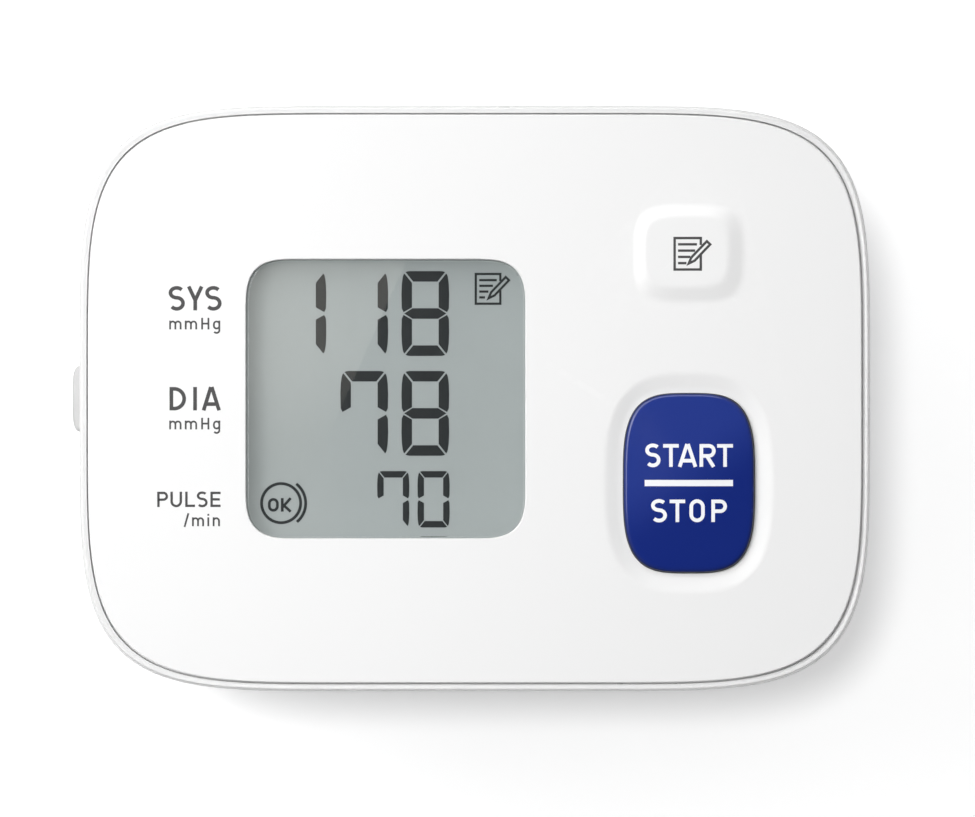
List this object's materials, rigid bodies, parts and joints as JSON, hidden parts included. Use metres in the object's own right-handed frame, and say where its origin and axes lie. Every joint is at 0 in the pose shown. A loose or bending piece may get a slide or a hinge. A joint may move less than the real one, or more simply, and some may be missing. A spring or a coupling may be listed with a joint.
{
  "type": "wrist blood pressure monitor",
  "caption": "Rounded rectangular display unit with a square screen and two push buttons on a closed, curled wrist cuff.",
  "frame": {"origin": "middle of the bounding box in X and Y, on the surface that the closed cuff stands on", "axes": "+Z out of the display, +X to the right of the display, +Y to its top; the wrist passes through the cuff along Y"},
  "size_m": [0.0845, 0.0622, 0.067],
  "materials": {
    "case_white": "satin moulded",
    "face_white": "fine satin moulded",
    "clear_window": "polished clear plastic",
    "button_blue": "satin moulded",
    "screw_steel": "plated",
    "display_glass": "grey-green reflective liquid crystal panel",
    "dark_plastic": "moulded",
    "contact_rubber": "matt",
    "board_green": "solder mask",
    "inner_grey": "moulded",
    "cell_jacket": "printed sleeve",
    "spring_steel": "nickel plated",
    "shaft_brass": "turned",
    "tube_silicone": "translucent silicone",
    "cuff_cloth": "brushed loop cloth",
    "lining_cloth": "smooth knitted nylon",
    "binding_tape": "woven tape, stitched",
    "hook_tape": "hook tape",
    "curl_plastic": "moulded",
    "bladder_vinyl": "matt vinyl"
  },
  "bodies": {
    "housing": {"rear_case": "case_white", "front_cover": "face_white", "display_window": "clear_window", "case_screw_1": "screw_steel", "case_screw_2": "screw_steel", "case_screw_3": "screw_steel", "case_screw_4": "screw_steel", "lcd_glass": "display_glass", "lcd_holder": "dark_plastic", "zebra_strip_top": "contact_rubber", "zebra_strip_bottom": "contact_rubber", "circuit_board": "board_green", "main_chip": "dark_plastic", "start_switch": "dark_plastic", "memory_switch": "dark_plastic", "pressure_sensor": "inner_grey", "battery_1": "cell_jacket", "battery_2": "cell_jacket", "battery_tray": "inner_grey", "battery_spring": "spring_steel", "spring_plate": "spring_steel", "battery_contact": "spring_steel", "pump_motor": "screw_steel", "pump_head": "inner_grey", "air_manifold": "inner_grey", "exhaust_valve": "dark_plastic", "pump_tube": "tube_silicone", "sensor_tube": "tube_silicone", "valve_tube": "tube_silicone", "nipple_seal": "contact_rubber", "cuff_cover": "cuff_cloth", "cuff_curl_plate": "curl_plastic", "air_bladder": "bladder_vinyl", "cuff_lining": "lining_cloth", "cuff_binding": "binding_tape", "air_nipple": "bladder_vinyl", "cuff_screw_1": "screw_steel", "cuff_screw_2": "screw_steel", "cuff_screw_3": "screw_steel", "cuff_screw_4": "screw_steel"},
    "start_key": {"start_button": "button_blue", "start_switch_stem": "inner_grey"},
    "memory_key": {"memory_button": "face_white", "memory_switch_stem": "inner_grey"},
    "battery_door": {"battery_cover": "case_white", "battery_link_plate": "spring_steel"},
    "tail": {"cuff_tail": "cuff_cloth", "hook_patch": "hook_tape"},
    "eccentric": {"pump_shaft": "shaft_brass"},
    "plunger": {"valve_plunger": "screw_steel"}
  },
  "joints": [
    {"name": "start_press", "type": "slide", "parent": "housing", "child": "start_key", "axis": [0, 0, -1], "range_m": [0, 0.0008], "stiffness_N_per_m": 2000},
    {"name": "memory_press", "type": "slide", "parent": "housing", "child": "memory_key", "axis": [0, 0, -1], "range_m": [0, 0.0005], "stiffness_N_per_m": 2500},
    {"name": "battery_door_slide", "type": "slide", "parent": "housing", "child": "battery_door", "axis": [-1, 0, 0], "range_m": [0, 0.015]},
    {"name": "tail_hinge", "type": "hinge", "parent": "housing", "child": "tail", "pos_m": [0.02365, 0, 0.04267], "axis": [0, -1, 0], "range_deg": [0, 40]},
    {"name": "pump_spin", "type": "hinge", "parent": "housing", "child": "eccentric", "pos_m": [0.024, 0, 0.0523], "axis": [0, 1, 0], "continuous": true},
    {"name": "valve_slide", "type": "slide", "parent": "housing", "child": "plunger", "axis": [1, 0, 0], "range_m": [0, 0.0005], "stiffness_N_per_m": 200}
  ]
}
